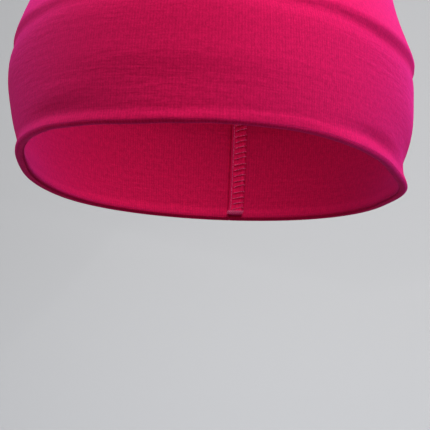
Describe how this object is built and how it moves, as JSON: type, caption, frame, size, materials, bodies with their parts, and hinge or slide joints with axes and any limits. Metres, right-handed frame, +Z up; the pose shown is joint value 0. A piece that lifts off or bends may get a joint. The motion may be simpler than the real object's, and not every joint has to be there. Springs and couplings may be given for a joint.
{
  "type": "sports headband",
  "caption": "Wide two-layer stretch-jersey headband in its worn shape, with padded seamed edges, a nape seam and a small blank label.",
  "frame": {"origin": "on the axis of the head opening, level with the lowest point of the lower edge at the nape", "axes": "+Z up as worn, front of the band towards -Y, +X towards the wearer's left"},
  "size_m": [0.1602, 0.1878, 0.1124],
  "materials": {
    "outer_jersey": "hot pink cotton and elastane single jersey, soft matt knit",
    "lining_jersey": "the same hot pink jersey, face to the skin",
    "thread": "matching spun polyester sewing thread",
    "label_satin": "off-white woven satin tape, blank"
  },
  "bodies": {
    "root": {"outer_panel": "outer_jersey", "lining_panel": "lining_jersey", "lower_seam_allowance": "outer_jersey", "upper_seam_allowance": "outer_jersey", "lower_overlock_thread": "thread", "upper_overlock_thread": "thread", "nape_seam_allowance": "outer_jersey", "nape_needle_thread": "thread", "nape_overlock_thread": "thread", "lower_bar_tack": "thread", "upper_bar_tack": "thread", "care_label": "label_satin"}
  },
  "joints": []
}
